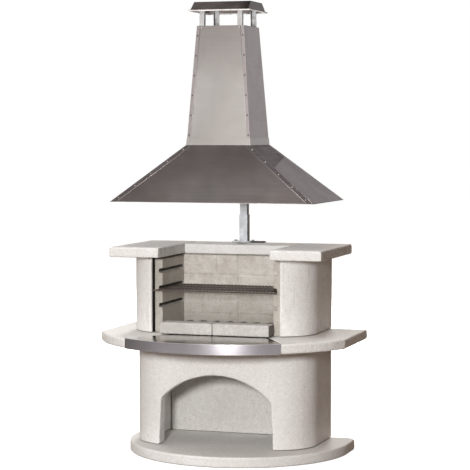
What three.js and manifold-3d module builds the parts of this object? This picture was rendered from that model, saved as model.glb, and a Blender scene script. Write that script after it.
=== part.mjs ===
// Outdoor masonry barbecue: stacked concrete blocks, a fireclay firebox with a sliding grate,
// and a riveted steel hood on a telescopic mast. Millimetres, +Z up, front towards -Y.
// Origin: on the ground under the middle of the outline.

import * as THREE from 'three';
import { mergeVertices } from 'three/addons/utils/BufferGeometryUtils.js';
import Module from 'manifold-3d';

const wasm = await Module();
wasm.setup();

// Whole outline
const overallDepth = 906; // front of the steel trim to the flat back
const backY = overallDepth / 2;
const frontY = -overallDepth / 2;

// Heights of the courses, from the ground up
const baseSlabHeight = 56;
const jambHeight = 244; // base slab to the springing of the arch
const archBlockHeight = 285;
const worktopThickness = 51;
const pillarHeight = 395;
const topSlabThickness = 54;
const wallsZ = baseSlabHeight;
const worktopZ = wallsZ + jambHeight + archBlockHeight;
const fireboxZ = worktopZ + worktopThickness;
const topSlabZ = fireboxZ + pillarHeight;
const mastZ = topSlabZ + topSlabThickness;

// Sideways places of the hand-stacked courses, from the middle of the worktop
const baseSlabShift = 12;
const wallsShift = -20;
const pillarsShift = -27;
const fireboxShift = -25;
const topSlabShift = 8;
const mastShift = -12;
const hoodShift = -16;

// Base slab: straight at the sides, half an ellipse in front
const baseSlabWidth = 1172;
const baseSlabDepth = 756;
const baseSlabStraight = 175;
const baseSlabCorner = 32;

// Lower walls
const wallsWidth = 966;
const wallsDepth = 510;
const wallCornerRadius = 220;
const wallThickness = 78;
const backWallThickness = 50;
const archFootWidth = 612; // clear width of the wood store on the base slab
const archSpringWidth = 588; // clear width at the springing
const archRise = 126;

// Worktop
const worktopWidth = 1312;
const worktopCurveShare = 0.547; // radius of the curved front over the worktop's width
const slabSeam = 1; // open joint between two slabs
const slabChamfer = 4;

// Steel sheet on the worktop's middle: folded down over its curved front, and back under the curb
const trimSheet = 1.5;
const trimWidth = 816;

// Pillars and rear wall
const pillarsWidth = 983;
const pillarWidth = 149;
const rearWallThickness = 60;
const wallEdgeRadius = 10; // worn front edge of a pillar beside the firebox

// Firebox
const fireboxWidth = 596;
const fireboxHeight = 382;
const fireboxBack = 117.5; // flat back of the barbecue to the face of the back panels
const sidePanelThickness = 40;
const sidePanelFrontGap = 52; // side panels stand back this far from the pillar fronts
const backPanelThickness = 36;
const panelJoint = 1;
const brickRow = 103;
const brickJointWidth = 4;
const brickJointDepth = 2.5;
const upperJointShare = 0.65; // places of the upright joints along the two left panels
const lowerJointShare = 0.42;
const slotFloor = 130; // firebox floor to the lowest slot
const slotPitch = 89;
const slotCount = 3;
const slotHeight = 22;
const slotDepth = 20;
const slotRearWall = 15; // solid fireclay behind the rear end of a slot

// Ridged floor plates
const floorPlateThickness = 17;
const ridgeHeight = 16;
const ridgeWidth = 60;
const ridgesPerPlate = 4;

// Curb
const curbLeftLength = 281;
const curbRightLength = 300;
const curbDepth = 102;
const curbHeight = 62;
const curbGap = 2;
const curbChamfer = 5;

// Cooking grate
const grateWidth = 670; // over the tips of the front rod
const grateDepth = 376;
const grateRod = 7;
const grateBar = 4;
const grateBarPitch = 19;
const grateLevel = 1; // slot that carries the grate, counted from the lowest as zero
const grateReach = 60; // the front rod stands this far in front of the side panels
const grateSink = 0.6; // bars are welded this deep into the cross rods
const grateCrossShare = 0.34; // places of the two inner cross rods, from either end

// Top slabs
const topSlabWidth = 1126;
const topSlabDepth = 624;
const topNotchWidth = 586;
const backSlabDepth = 237;

// Mast
const socketSize = 45;
const tubeWall = 2.5;
const socketHeight = 147; // top of the socket above the top slab
const mastBack = 35; // flat back of the barbecue to the mast's axis
const footPlateThickness = 6;
const footPlateDepth = 55;
const footPlateLeft = 62; // plate ends, from the mast's axis
const footPlateRight = 112;
const anchorSpread = 96; // distance between the two anchor bolts
const anchorShank = 10;
const anchorHead = 17;
const anchorHeadHeight = 7;
const anchorLength = 40;
const tubeInsertion = 87; // inner tube inside the socket at the photographed height
const tubeTop = 70; // inner tube above the hood's rim, before its slanted cut
const clampHoleBelowTop = 20;
const clampShank = 8;
const clampHead = 13;
const clampHeadHeight = 5;
const crossbarSize = 30; // angle bar across the inside of the hood
const crossbarSheet = 3;
const crossbarRise = 12; // crossbar above the hood's rim
const weldDepth = 1; // welded pieces share this much

// Hood and stack
const sheet = 1.5;
const hoodRimZ = 1315;
const hoodWidth = 1082;
const hoodDepth = 600;
const hoodBack = 2; // flat back of the barbecue to the hood's rim
const hoodHeight = 290;
const hoodFoldWidth = 33; // level width of a side panel's fold over the front and back
const rimLip = 10;
const stackWidth = 342;
const stackDepth = 332;
const stackTopWidth = 252;
const stackTopDepth = 262;
const stackHeight = 609;
const stackFoldWidth = 18;
const collarHeight = 36;
const rivetHead = 7;
const rivetHeadHeight = 1.8;
const rivetSink = 0.5;
const stackRivetMargin = 51; // outermost rivets of a fold, from its ends in height
const stackRivetCount = 6;
const hoodRivetMargin = 22;
const hoodRivetCount = 5;

// Rain cap
const capRimAbove = 73; // underside of the cap's rim above the stack
const capWidth = 328;
const capDepth = 316;
const capFlange = 9;
const capLip = 8;
const capBodyHeight = 43;
const capRunX = 3; // how far an end face leans in
const capRunY = 52; // how far the front and back faces lean in
const legSize = 25;
const legSheet = 2;
const legDepthInStack = 54;
const capBoltBelowTop = 11;
const capBoltInset = 24.5; // bolt axis from the side of the stack's top
const capBoltShank = 6;
const capBoltHead = 10;
const capBoltHeadHeight = 4;
const capBoltLength = 10;

// Fits
const gap = 0.3; // between pieces that touch on the real object
const boltClearance = 0.4;
const overrun = 6; // cutters pass the surface they cut by this much

// Fineness of round shapes
const arcSteps = 24;
const cornerSteps = 10;
const rodSides = 8;
const barSides = 6;

const concrete = new THREE.MeshStandardMaterial({ color: 0xdedbd3, roughness: 0.95, metalness: 0 });
const fireclay = new THREE.MeshStandardMaterial({ color: 0xb9b0a6, roughness: 0.9, metalness: 0 });
const sootyFireclay = new THREE.MeshStandardMaterial({ color: 0x9c948b, roughness: 0.9, metalness: 0 });
const whiteFireclay = new THREE.MeshStandardMaterial({ color: 0xe4e1da, roughness: 0.9, metalness: 0 });
const brushedSteel = new THREE.MeshStandardMaterial({ color: 0x9a928e, roughness: 0.35, metalness: 1 });
const hoodSteel = new THREE.MeshStandardMaterial({ color: 0x77706c, roughness: 0.4, metalness: 1 });
const capSteel = new THREE.MeshStandardMaterial({ color: 0x564d49, roughness: 0.45, metalness: 1 });
const zincSteel = new THREE.MeshStandardMaterial({ color: 0xc4c8ca, roughness: 0.45, metalness: 1 });
const grateSteel = new THREE.MeshStandardMaterial({ color: 0x6d6360, roughness: 0.4, metalness: 1 });
const boltSteel = new THREE.MeshStandardMaterial({ color: 0x8b8d8f, roughness: 0.4, metalness: 1 });

// Solids and boolean work

function toSolid(geometry) {
  const bare = geometry.clone();
  bare.deleteAttribute('normal');
  bare.deleteAttribute('uv');
  const merged = mergeVertices(bare);
  const vertProperties = new Float32Array(merged.attributes.position.array);
  const triVerts = new Uint32Array(merged.index.array);
  return new wasm.Manifold(new wasm.Mesh({ numProp: 3, vertProperties, triVerts }));
}

function toGeometry(solid) {
  const data = solid.getMesh();
  const indexed = new THREE.BufferGeometry();
  indexed.setAttribute('position', new THREE.BufferAttribute(data.vertProperties, 3));
  indexed.setIndex(new THREE.BufferAttribute(data.triVerts, 1));
  const flat = indexed.toNonIndexed();
  flat.computeVertexNormals();
  return flat;
}

function joined(...geometries) {
  return toGeometry(geometries.map(toSolid).reduce((all, next) => all.add(next)));
}

function cut(geometry, ...cutters) {
  return toGeometry(cutters.map(toSolid).reduce((rest, cutter) => rest.subtract(cutter), toSolid(geometry)));
}

function common(geometry, other) {
  return toGeometry(toSolid(geometry).intersect(toSolid(other)));
}

// Shapes

const rightAngle = Math.PI / 2;
const sides = [['left', -1], ['right', 1]];
const ends = [['front', -1], ['back', 1]];

// Two distances from a middle line, as ordered coordinates on one side of it
function span(side, near, far) {
  return side < 0 ? [-far, -near] : [near, far];
}

function box(x0, x1, y0, y1, z0, z1) {
  const geometry = new THREE.BoxGeometry(x1 - x0, y1 - y0, z1 - z0);
  return geometry.translate((x0 + x1) / 2, (y0 + y1) / 2, (z0 + z1) / 2);
}

// A body between two level outlines with the same number of points, counter-clockwise from above
function lofted(z0, z1, outlineAt) {
  const low = outlineAt(z0);
  const high = outlineAt(z1);
  const count = low.length;
  const positions = [...low.map((p) => [...p, z0]), ...high.map((p) => [...p, z1])];
  const lid = THREE.ShapeUtils.triangulateShape(low.map(([x, y]) => new THREE.Vector2(x, y)), []);
  const index = [];
  lid.forEach(([a, b, c]) => index.push(a, c, b, a + count, b + count, c + count));
  for (let i = 0; i < count; i += 1) {
    const next = (i + 1) % count;
    index.push(i, next, next + count, i, next + count, i + count);
  }
  const geometry = new THREE.BufferGeometry();
  geometry.setAttribute('position', new THREE.Float32BufferAttribute(positions.flat(), 3));
  geometry.setIndex(index);
  const flat = geometry.toNonIndexed();
  flat.computeVertexNormals();
  return flat;
}

function rectangle(x0, x1, y0, y1) {
  return [[x0, y0], [x1, y0], [x1, y1], [x0, y1]];
}

function polygon(points) {
  return new THREE.Shape(points.map(([x, y]) => new THREE.Vector2(x, y)));
}

function arcPoints(centreX, centreY, radiusX, fromAngle, toAngle, steps, radiusY = radiusX) {
  return Array.from({ length: steps + 1 }, (_, i) => {
    const angle = fromAngle + (toAngle - fromAngle) * (i / steps);
    return [centreX + radiusX * Math.cos(angle), centreY + radiusY * Math.sin(angle)];
  });
}

// The same outline on the left (side -1) or the right (side 1)
function mirrored(points, side) {
  const turned = points.map(([x, y]) => [side * x, y]);
  return side < 0 ? turned.reverse() : turned;
}

// A plan outline raised from z = 0, with its level edges chamfered
function raised(points, height, chamfer = 0) {
  const geometry = new THREE.ExtrudeGeometry(polygon(points), {
    depth: height - 2 * chamfer,
    bevelEnabled: chamfer > 0,
    bevelThickness: chamfer,
    bevelSize: chamfer,
    bevelOffset: -chamfer,
    bevelSegments: 1,
  });
  return geometry.translate(0, 0, chamfer);
}

// A profile drawn in X and Z, running from y0 to y1
function alongY(points, y0, y1) {
  const turn = new THREE.Matrix4().makeBasis(
    new THREE.Vector3(1, 0, 0), new THREE.Vector3(0, 0, 1), new THREE.Vector3(0, -1, 0));
  return raised(points, y1 - y0).applyMatrix4(turn).translate(0, y1, 0);
}

// A profile drawn in Y and Z, running from x0 to x1
function alongX(points, x0, x1) {
  const turn = new THREE.Matrix4().makeBasis(
    new THREE.Vector3(0, 1, 0), new THREE.Vector3(0, 0, 1), new THREE.Vector3(1, 0, 0));
  return raised(points, x1 - x0).applyMatrix4(turn).translate(x0, 0, 0);
}

// A straight bar between two points, with its own diameter at either end
function rod(from, to, diameter, facets, endDiameter = diameter) {
  const start = new THREE.Vector3(...from);
  const end = new THREE.Vector3(...to);
  const along = end.clone().sub(start);
  const geometry = new THREE.CylinderGeometry(endDiameter / 2, diameter / 2, along.length(), facets);
  const turn = new THREE.Quaternion().setFromUnitVectors(new THREE.Vector3(0, 1, 0), along.normalize());
  const middle = start.add(end).multiplyScalar(1 / 2);
  return geometry.applyQuaternion(turn).translate(middle.x, middle.y, middle.z);
}

function pointAlong(at, direction, distance) {
  const way = new THREE.Vector3(...direction).normalize();
  return new THREE.Vector3(...at).addScaledVector(way, distance).toArray();
}

// A hexagon-head bolt whose head rests at a point and whose shank runs along the direction
function bolt(at, direction, shank, length, head, headHeight) {
  const top = pointAlong(at, direction, -headHeight);
  return joined(rod(top, at, head, barSides), rod(top, pointAlong(at, direction, length), shank, rodSides));
}

const root = new THREE.Group();

function addGroup(x, y, z, parent = root) {
  const group = new THREE.Group();
  group.position.set(x, y, z);
  parent.add(group);
  return group;
}

function place(group, name, geometry, material, z = 0) {
  const mesh = new THREE.Mesh(geometry, material);
  mesh.name = name;
  mesh.position.z = z;
  group.add(mesh);
}

// Base slab

function buildBaseSlab() {
  const half = baseSlabWidth / 2;
  const bendY = backY - baseSlabStraight;
  const front = arcPoints(
    0, bendY, half, Math.PI, 2 * Math.PI, 2 * arcSteps, baseSlabDepth - baseSlabStraight);
  const outline = [
    ...front,
    [half, backY - baseSlabCorner], [half - baseSlabCorner, backY],
    [baseSlabCorner - half, backY], [-half, backY - baseSlabCorner],
  ];
  place(addGroup(baseSlabShift, 0, 0), 'base_slab', raised(outline, baseSlabHeight, slabChamfer), concrete);
}

// Lower walls

const wallsFrontY = backY - wallsDepth;
const cornerY = wallsFrontY + wallCornerRadius;
const wallsHalf = wallsWidth / 2;

function cornerArc(radius) {
  return arcPoints(wallsHalf - wallCornerRadius, cornerY, radius, -rightAngle, 0, cornerSteps);
}

// Wood store opening, with z = 0 on the base slab
function archCutter() {
  const footHalf = archFootWidth / 2;
  const springHalf = archSpringWidth / 2;
  const radius = (springHalf ** 2 + archRise ** 2) / (2 * archRise);
  const reach = Math.asin(springHalf / radius);
  const crown = arcPoints(
    0, jambHeight + archRise - radius, radius, rightAngle - reach, rightAngle + reach, arcSteps);
  const belowHalf = footHalf + (footHalf - springHalf) * (overrun / jambHeight);
  const profile = [[-belowHalf, -overrun], [belowHalf, -overrun], ...crown];
  return alongY(profile, wallsFrontY - overrun, cornerY);
}

function buildLowerWalls() {
  const walls = addGroup(wallsShift, 0, wallsZ);
  const inner = wallsHalf - wallThickness;
  const wallOutline = [
    ...cornerArc(wallCornerRadius), [wallsHalf, backY], [inner, backY],
    ...cornerArc(wallCornerRadius - wallThickness).reverse(),
  ];
  const opening = archCutter();
  sides.forEach(([word, side]) => {
    const jamb = raised(mirrored(wallOutline, side), jambHeight);
    place(walls, `base_side_${word}`, cut(jamb, opening), concrete);
  });
  const ring = raised([...wallOutline, ...mirrored(wallOutline, -1)], archBlockHeight);
  const raisedOpening = opening.clone().translate(0, 0, -jambHeight);
  place(walls, 'base_arch', cut(ring, raisedOpening), concrete, jambHeight);
  const backWall = box(-inner, inner, backY - backWallThickness, backY, 0, jambHeight + archBlockHeight);
  place(walls, 'base_back_wall', backWall, concrete);
}

// Worktop and its steel trim

const worktopFrontRadius = worktopWidth * worktopCurveShare;
const worktopArcY = frontY + trimSheet + gap + worktopFrontRadius;

// Arc about the worktop's centre of curvature, between two radial lines given by their places on
// the worktop's front edge
function frontArc(radius, fromX, toX) {
  const angleOf = (x) => Math.asin(x / worktopFrontRadius) - rightAngle;
  return arcPoints(0, worktopArcY, radius, angleOf(fromX), angleOf(toX), arcSteps);
}

function buildWorktop() {
  const worktop = addGroup(0, 0, worktopZ);
  const half = worktopWidth / 2;
  const seamFront = trimWidth / 2;
  const seamReach = Math.sqrt(worktopFrontRadius ** 2 - seamFront ** 2);
  const seamBack = seamFront * (worktopArcY - wallsFrontY) / seamReach;

  const centre = [
    ...frontArc(worktopFrontRadius, -seamFront, seamFront),
    [seamBack, wallsFrontY], [seamBack, backY], [-seamBack, backY], [-seamBack, wallsFrontY],
  ];
  place(worktop, 'worktop_centre', raised(centre, worktopThickness, slabChamfer), concrete);

  sides.forEach(([word, side]) => {
    const outline = [
      ...frontArc(worktopFrontRadius, seamFront + slabSeam, half),
      [half, backY], [seamBack + slabSeam, backY], [seamBack + slabSeam, wallsFrontY],
    ];
    place(worktop, `worktop_${word}`,
      raised(mirrored(outline, side), worktopThickness, slabChamfer), concrete);
  });

  const sector = (innerRadius, outerRadius) => [
    ...frontArc(outerRadius, -seamFront, seamFront),
    ...frontArc(innerRadius, -seamFront, seamFront).reverse(),
  ];
  const bandInner = worktopFrontRadius + gap;
  const bandOuter = bandInner + trimSheet;
  const flangeZ = worktopThickness + gap;
  const band = raised(sector(bandInner, bandOuter), flangeZ + trimSheet);
  const flangeBackY = panelsFrontY - 2 * gap;
  const flange = raised([
    ...frontArc(bandOuter, -seamFront, seamFront),
    [seamBack, wallsFrontY], [seamBack, flangeBackY],
    [-seamBack, flangeBackY], [-seamBack, wallsFrontY],
  ], trimSheet);
  place(worktop, 'worktop_trim', joined(band, flange.translate(0, 0, flangeZ)), brushedSteel);
}

// Pillars and rear wall

function buildPillars() {
  const pillars = addGroup(pillarsShift, 0, fireboxZ);
  const half = pillarsWidth / 2;
  const inner = half - pillarWidth;
  const bendX = half - wallCornerRadius;
  const startAngle = -Math.acos((inner + wallEdgeRadius - bendX) / wallCornerRadius);
  const corner = arcPoints(bendX, cornerY, wallCornerRadius, startAngle, 0, cornerSteps);
  const [edgeX, edgeY] = corner[0];
  const worn = arcPoints(
    edgeX, edgeY + wallEdgeRadius, wallEdgeRadius, -2 * rightAngle, -rightAngle, rodSides / 2);
  const outline = [...worn.slice(0, -1), ...corner, [half, backY], [inner, backY]];

  sides.forEach(([word, side]) => {
    place(pillars, `pillar_${word}`, raised(mirrored(outline, side), pillarHeight), concrete);
  });
  place(pillars, 'rear_wall',
    box(-inner, inner, backY - rearWallThickness, backY, 0, pillarHeight), concrete);
}

// Firebox lining

const panelsBackY = backY - fireboxBack;
const panelsFrontY = wallsFrontY + sidePanelFrontGap;
const fireboxHalf = fireboxWidth / 2;

function slotProfile(floor) {
  const radius = slotHeight / 2;
  const bendY = panelsBackY - slotRearWall - radius;
  const openY = panelsFrontY - overrun;
  return [
    [openY, floor],
    ...arcPoints(bendY, floor + radius, radius, -rightAngle, rightAngle, rodSides),
    [openY, floor + slotHeight],
  ];
}

// A back panel with grooves for its level joints, its centre edge and one upright joint
function backPanel(height, side, levels, jointShare) {
  const width = fireboxHalf + sidePanelThickness - panelJoint / 2;
  const half = brickJointWidth / 2;
  const groove = (x0, x1, z0, z1) => box(
    x0, x1, panelsBackY - overrun, panelsBackY + brickJointDepth, z0, z1);
  const [left, right] = span(side, panelJoint / 2, panelJoint / 2 + width);
  const block = box(left, right, panelsBackY, panelsBackY + backPanelThickness, 0, height);
  const grooves = levels.map((z) => groove(left - overrun, right + overrun, z - half, z + half));
  grooves.push(groove(-half, half, -overrun, height + overrun));
  if (jointShare > 0) {
    const x = left + width * jointShare;
    grooves.push(groove(x - half, x + half, height - brickRow, height + overrun));
  }
  return cut(block, ...grooves);
}

function ridgedPlate(left, right, depth) {
  const pitch = (right - left) / ridgesPerPlate;
  const radius = ((ridgeWidth / 2) ** 2 + ridgeHeight ** 2) / (2 * ridgeHeight);
  const reach = Math.asin(ridgeWidth / 2 / radius);
  const top = floorPlateThickness;
  const points = [[left, 0], [right, 0], [right, top]];
  for (let i = ridgesPerPlate - 1; i >= 0; i -= 1) {
    const centreX = left + pitch * (i + 1 / 2);
    points.push(...arcPoints(
      centreX, top + ridgeHeight - radius, radius, rightAngle - reach, rightAngle + reach, rodSides));
  }
  points.push([left, top]);
  return alongY(points, panelsFrontY + gap, panelsFrontY + gap + depth);
}

function buildFirebox() {
  const firebox = addGroup(fireboxShift, 0, fireboxZ);
  const outer = fireboxHalf + sidePanelThickness;
  sides.forEach(([word, side]) => {
    const slots = Array.from({ length: slotCount }, (_, i) => alongX(
      slotProfile(slotFloor + slotPitch * i), ...span(side, fireboxHalf - overrun, fireboxHalf + slotDepth)));
    const block = box(...span(side, fireboxHalf, outer), panelsFrontY, panelsBackY - gap, 0, fireboxHeight);
    place(firebox, `side_panel_${word}`, cut(block, ...slots), fireclay);
  });

  const upperHeight = 2 * brickRow - gap;
  const lowerHeight = fireboxHeight - 2 * brickRow;
  sides.forEach(([word, side]) => {
    const shares = side < 0 ? [upperJointShare, lowerJointShare] : [0, 0];
    place(firebox, `back_panel_upper_${word}`,
      backPanel(upperHeight, side, [0, upperHeight - brickRow], shares[0]), fireclay, lowerHeight + gap);
    place(firebox, `back_panel_lower_${word}`,
      backPanel(lowerHeight, side, [lowerHeight - brickRow, lowerHeight], shares[1]), fireclay);
  });

  const plateDepth = panelsBackY - panelsFrontY - 2 * gap;
  sides.forEach(([word, side]) => {
    const [left, right] = span(side, panelJoint / 2, fireboxHalf - gap);
    place(firebox, `floor_plate_${word}`, ridgedPlate(left, right, plateDepth), sootyFireclay);
  });
}

function buildCurb() {
  const curbZ = fireboxZ + gap + trimSheet + gap; // the blocks rest on the steel sheet
  const curb = addGroup(wallsShift, panelsFrontY - gap - curbDepth, curbZ);
  const lengths = { left: curbLeftLength, right: curbRightLength };
  sides.forEach(([word, side]) => {
    const outline = rectangle(...span(side, curbGap / 2, curbGap / 2 + lengths[word]), 0, curbDepth);
    place(curb, `curb_${word}`, raised(outline, curbHeight, curbChamfer), whiteFireclay);
  });
}

// Cooking grate: a frame with two cross rods, and bars from front to back welded on top

function buildGrate() {
  const z = fireboxZ + slotFloor + slotPitch * grateLevel + gap;
  const grate = addGroup(fireboxShift, panelsFrontY - grateReach, z);
  const radius = grateRod / 2;
  const sideX = fireboxHalf + slotDepth - radius - 2 * gap;
  const frontRodY = radius;
  const backRodY = grateDepth - radius;
  const inset = (backRodY - frontRodY) * grateCrossShare;
  const crossRod = (half, y, diameter) => rod([-half, y, radius], [half, y, radius], diameter, rodSides);

  const pieces = [
    crossRod(grateWidth / 2, frontRodY, grateRod),
    crossRod(sideX, backRodY, grateRod),
    crossRod(sideX, frontRodY + inset, grateRod - gap),
    crossRod(sideX, backRodY - inset, grateRod - gap),
  ];
  sides.forEach(([, side]) => pieces.push(
    rod([sideX * side, frontRodY, radius], [sideX * side, backRodY, radius], grateRod - 2 * gap, rodSides)));

  const barZ = grateRod + grateBar / 2 - grateSink;
  const barsPerSide = Math.floor((sideX - grateBarPitch / 2) / grateBarPitch);
  for (let i = -barsPerSide; i <= barsPerSide; i += 1) {
    const x = i * grateBarPitch;
    pieces.push(rod([x, 0, barZ], [x, grateDepth, barZ], grateBar, barSides));
  }
  place(grate, 'cooking_grate', joined(...pieces), grateSteel);
}

// Top slabs, the back one drilled for the anchor bolts

const anchorHole = anchorShank + 2 * boltClearance;

function buildTop() {
  const top = addGroup(topSlabShift, 0, topSlabZ);
  const outer = topSlabWidth / 2;
  const inner = topNotchWidth / 2;
  sides.forEach(([word, side]) => {
    const outline = rectangle(...span(side, inner, outer), backY - topSlabDepth, backY);
    place(top, `top_slab_${word}`, raised(outline, topSlabThickness, slabChamfer), concrete);
  });
  const outline = rectangle(slabSeam - inner, inner - slabSeam, backY - backSlabDepth, backY);
  const holes = sides.map(([, side]) => {
    const x = mastShift - topSlabShift + side * anchorSpread / 2;
    const y = backY - mastBack;
    return rod(
      [x, y, topSlabThickness - anchorLength], [x, y, topSlabThickness + overrun], anchorHole, rodSides);
  });
  place(top, 'top_slab_back', cut(raised(outline, topSlabThickness, slabChamfer), ...holes), concrete);
}

// Mast socket, welded to its foot plate and bolted down

function squareTube(size, wall, z0, z1) {
  const outer = size / 2;
  const inner = outer - wall;
  return cut(
    box(-outer, outer, -outer, outer, z0, z1),
    box(-inner, inner, -inner, inner, z0 - overrun, z1 + overrun));
}

function buildSocket() {
  const mast = addGroup(mastShift, backY - mastBack, mastZ);
  const socketHalf = socketSize / 2;
  const clampZ = socketHeight - clampHoleBelowTop;
  const tube = squareTube(socketSize, tubeWall, footPlateThickness - weldDepth, socketHeight);
  const plate = box(
    -footPlateLeft, footPlateRight, -footPlateDepth / 2, footPlateDepth / 2, 0, footPlateThickness);
  const anchorHoles = sides.map(([, side]) => rod(
    [side * anchorSpread / 2, 0, -overrun], [side * anchorSpread / 2, 0, footPlateThickness + overrun],
    anchorHole, rodSides));
  const clampHole = rod(
    [0, socketHalf - tubeWall - overrun, clampZ], [0, socketHalf + overrun, clampZ],
    clampShank + 2 * boltClearance, rodSides);
  place(mast, 'mast_socket', cut(joined(plate, tube), ...anchorHoles, clampHole), zincSteel);

  sides.forEach(([word, side]) => {
    const seat = [side * anchorSpread / 2, 0, footPlateThickness + gap];
    place(mast, `anchor_bolt_${word}`,
      bolt(seat, [0, 0, -1], anchorShank, anchorLength, anchorHead, anchorHeadHeight), boltSteel);
  });
  place(mast, 'clamp_screw',
    bolt([0, socketHalf + gap, clampZ], [0, -1, 0], clampShank, tubeWall + gap, clampHead, clampHeadHeight),
    boltSteel);
}

// Four-sided sheet-metal shells. A skin gives half the outer width and depth at a height, linear
// between its foot and its top.

function makeSkin(footHalf, topHalf, height) {
  return (z) => footHalf.map((half, i) => half + (topHalf[i] - half) * (z / height));
}

// Panel outlines of a shell: the front and back panels lie inside the folds of the side panels
function makeShell(skin, height, foldWidth) {
  const [footX, footY] = skin(0);
  const [topX, topY] = skin(height);
  const thickX = sheet * Math.hypot(1, (footX - topX) / height);
  const thickY = sheet * Math.hypot(1, (footY - topY) / height);
  const faceX = (z) => skin(z)[0] - thickX - gap;
  const faceY = (z) => skin(z)[1] - thickY - gap;

  const face = (end) => lofted(0, height, (z) => rectangle(
    -faceX(z), faceX(z), ...span(end, faceY(z) - thickY, faceY(z))));
  const sidePanel = (side) => lofted(0, height, (z) => {
    const [x, y] = skin(z);
    const inner = x - thickX;
    const fold = x - foldWidth;
    return mirrored([
      [fold, -y], [x, -y], [x, y], [fold, y],
      [fold, y - thickY], [inner, y - thickY], [inner, thickY - y], [fold, thickY - y],
    ], side);
  });
  // The room inside the panels, short of them by the given distance
  const inside = (z0, z1, distance) => lofted(z0, z1, (z) => rectangle(
    distance + gap - faceX(z), faceX(z) - gap - distance,
    distance + thickY - faceY(z), faceY(z) - thickY - distance));
  // Domed rivets on both folds of a side panel, spread evenly between two margins
  const rivets = (side, margin, count) => ends.flatMap(([, end]) => {
    const normal = [0, end * height, footY - topY];
    return Array.from({ length: count }, (_, i) => {
      const z = margin + (height - 2 * margin) * (i / (count - 1));
      const [x, y] = skin(z);
      const seat = [(x - foldWidth / 2) * side, y * end, z];
      return rod(
        pointAlong(seat, normal, -rivetSink), pointAlong(seat, normal, rivetHeadHeight),
        rivetHead, rodSides, rivetHead / 2);
    });
  });
  return { thickX, thickY, faceX, faceY, face, sidePanel, inside, rivets };
}

const collarReach = gap + sheet;
const stackFoot = [stackWidth / 2, stackDepth / 2];
const stackSkin = makeSkin(stackFoot, [stackTopWidth / 2, stackTopDepth / 2], stackHeight);
const hoodSkin = makeSkin(
  [hoodWidth / 2, hoodDepth / 2], stackFoot.map((half) => half + collarReach), hoodHeight);
const hoodShell = makeShell(hoodSkin, hoodHeight, hoodFoldWidth);
const stackShell = makeShell(stackSkin, stackHeight, stackFoldWidth);
const hoodY = backY - hoodBack - hoodDepth / 2;

function buildHood(hood) {
  const { thickX, thickY, faceX, faceY } = hoodShell;
  ends.forEach(([word, end]) => {
    const lip = lofted(0, sheet, (z) => rectangle(
      -faceX(z), faceX(z), ...span(end, faceY(0) - rimLip, faceY(z) - thickY / 2)));
    place(hood, `hood_${word}`, joined(hoodShell.face(end), lip), hoodSteel);
  });
  sides.forEach(([word, side]) => {
    const lipEnd = faceY(0) - rimLip - gap;
    const lip = lofted(0, sheet, (z) => rectangle(
      ...span(side, hoodSkin(0)[0] - rimLip, hoodSkin(z)[0] - thickX / 2), -lipEnd, lipEnd));
    const rivets = hoodShell.rivets(side, hoodRivetMargin, hoodRivetCount);
    place(hood, `hood_${word}`, joined(hoodShell.sidePanel(side), lip, ...rivets), hoodSteel);
  });
}

function buildStack(stack) {
  const ring = (reach) => (z) => {
    const [x, y] = stackSkin(z);
    return rectangle(-x - reach, x + reach, -y - reach, y + reach);
  };
  const collar = cut(
    lofted(0, collarHeight, ring(collarReach)),
    lofted(-overrun, collarHeight + overrun, ring(gap)));
  place(stack, 'stack_collar', collar, brushedSteel);

  ends.forEach(([word, end]) => {
    const holes = sides.map(([, side]) => capBoltHole(side, end));
    place(stack, `stack_${word}`, cut(stackShell.face(end), ...holes), brushedSteel);
  });
  sides.forEach(([word, side]) => {
    const rivets = stackShell.rivets(side, stackRivetMargin, stackRivetCount);
    place(stack, `stack_${word}`, joined(stackShell.sidePanel(side), ...rivets), brushedSteel);
  });
}

// Rain cap on four angle legs. Each bolt passes through a stack panel and a leg, square to the panel.

const capBoltZ = stackHeight - capBoltBelowTop;
const panelLean = (stackDepth - stackTopDepth) / 2 / stackHeight;

function capBoltLine(side, end) {
  const seat = [
    side * (stackTopWidth / 2 - capBoltInset), end * (stackShell.faceY(capBoltZ) + gap), capBoltZ];
  return { seat, direction: [0, -end, -panelLean] };
}

function capBoltHole(side, end) {
  const { seat, direction } = capBoltLine(side, end);
  return rod(
    pointAlong(seat, direction, -overrun), pointAlong(seat, direction, capBoltLength),
    capBoltShank + 2 * boltClearance, rodSides);
}

const capBodyHalf = (z) => [
  capWidth / 2 - capFlange - capRunX * ((z - capLip) / capBodyHeight),
  capDepth / 2 - capFlange - capRunY * ((z - capLip) / capBodyHeight),
];

function capSection(shrinkX, shrinkY) {
  return (z) => {
    const [x, y] = capBodyHalf(z);
    return rectangle(shrinkX - x, x - shrinkX, shrinkY - y, y - shrinkY);
  };
}

const capThickX = sheet * Math.hypot(1, capRunX / capBodyHeight);
const capThickY = sheet * Math.hypot(1, capRunY / capBodyHeight);

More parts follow.
